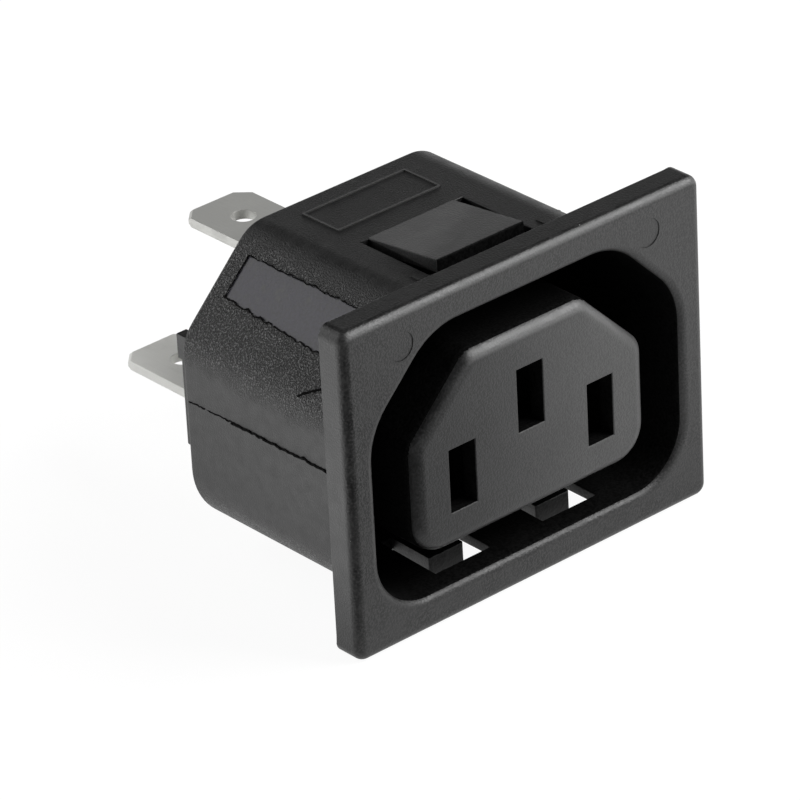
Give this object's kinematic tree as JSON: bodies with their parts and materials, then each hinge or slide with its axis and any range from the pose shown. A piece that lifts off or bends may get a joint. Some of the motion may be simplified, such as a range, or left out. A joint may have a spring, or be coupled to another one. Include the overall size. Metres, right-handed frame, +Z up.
{
  "type": "iec power panel socket",
  "caption": "Snap-in panel power outlet: flanged black housing with a recessed well and a slotted tongue, snap latches behind the flange, and flat rear tabs.",
  "frame": {"origin": "centre of the flange's back face, which lies on the panel", "axes": "+Y goes through the panel towards the tabs, so the plug enters along +Y; +Z is up; +X is to the right for someone who looks at the plug side"},
  "size_m": [0.036, 0.0368, 0.0276],
  "materials": {
    "moulded_plastic": "fine spark texture",
    "cover_plastic": "satin",
    "plated_brass": "tin plated"
  },
  "bodies": {
    "root": {"housing": "moulded_plastic", "rear_cover": "cover_plastic", "line_contact": "plated_brass", "neutral_contact": "plated_brass", "earth_contact": "plated_brass"}
  },
  "joints": []
}
